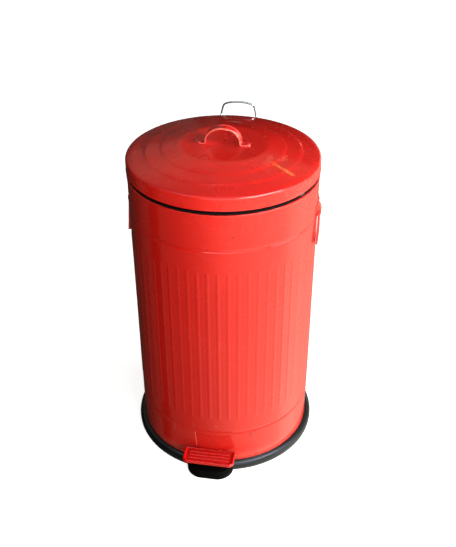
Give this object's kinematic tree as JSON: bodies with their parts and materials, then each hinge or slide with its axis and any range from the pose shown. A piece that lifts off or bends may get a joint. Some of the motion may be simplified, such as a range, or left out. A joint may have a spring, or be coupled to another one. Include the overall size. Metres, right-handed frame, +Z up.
{
  "type": "pedal trash can",
  "caption": "Round ribbed steel pedal trash can: stepped lid lifted by a front pedal through a lever and lift rod, inner bucket, drop handles, black base ring.",
  "frame": {"origin": "on the can's upright axis, at the floor that the base ring stands on", "axes": "+Z up along the can's axis; -Y towards the pedal and +Y towards the lid hinge; +X to the right seen from the pedal"},
  "size_m": [0.3196, 0.3662, 0.5687],
  "materials": {
    "red_paint": "glossy red paint on steel sheet, light scuffs",
    "black_plastic": "satin black moulded plastic",
    "bucket_plastic": "satin black plastic, fine grain",
    "chrome": "bright chromed wire",
    "zinc": "zinc plated steel",
    "rubber": "matte black rubber"
  },
  "bodies": {
    "can": {"body_shell": "red_paint", "floor_plate": "zinc", "base_ring": "black_plastic", "pedal_bracket": "zinc", "pedal_bracket_rivets": "zinc", "pedal_axle": "zinc", "pedal_axle_clips": "zinc", "rod_guide": "zinc", "hinge_bracket": "red_paint", "hinge_bracket_rivets": "red_paint", "hinge_pin": "zinc", "hinge_pin_nuts": "zinc", "rear_bail": "chrome", "side_bracket_right": "red_paint", "side_bracket_left": "red_paint", "side_bracket_rivets": "red_paint", "inner_bucket": "bucket_plastic", "bucket_handle": "chrome"},
    "lid": {"lid_shell": "red_paint", "lid_handle": "red_paint", "lid_handle_rivets": "red_paint", "lid_hinge_leaf": "zinc", "lid_leaf_rivets": "red_paint", "lid_buffers": "rubber"},
    "pedal": {"pedal_lever": "zinc", "pedal_tread": "red_paint"},
    "lift_rod": {"lift_rod": "zinc", "lift_rod_clips": "zinc"},
    "handle_right": {"side_handle_right": "red_paint"},
    "handle_left": {"side_handle_left": "red_paint"}
  },
  "joints": [
    {"name": "lid_hinge", "type": "hinge", "parent": "can", "child": "lid", "pos_m": [0, 0.157, 0.503], "axis": [-1, 0, 0], "range_deg": [0, 75]},
    {"name": "pedal_pivot", "type": "hinge", "parent": "can", "child": "pedal", "pos_m": [0, -0.0305, 0.0325], "axis": [1, 0, 0], "range_deg": [0, 6.45]},
    {"name": "rod_slide", "type": "slide", "parent": "can", "child": "lift_rod", "axis": [0, 0, 1], "range_m": [0, 0.01954]},
    {"name": "right_handle_swing", "type": "hinge", "parent": "can", "child": "handle_right", "pos_m": [0.1522, 0, 0.438], "axis": [0, -1, 0], "range_deg": [0, 100]},
    {"name": "left_handle_swing", "type": "hinge", "parent": "can", "child": "handle_left", "pos_m": [-0.1522, 0, 0.438], "axis": [0, 1, 0], "range_deg": [0, 100]}
  ],
  "couplings": [
    {"joint": "pedal_pivot", "follows": "lid_hinge", "ratio": 0.085345},
    {"joint": "rod_slide", "follows": "lid_hinge", "m_per_rad": 0.01485}
  ]
}
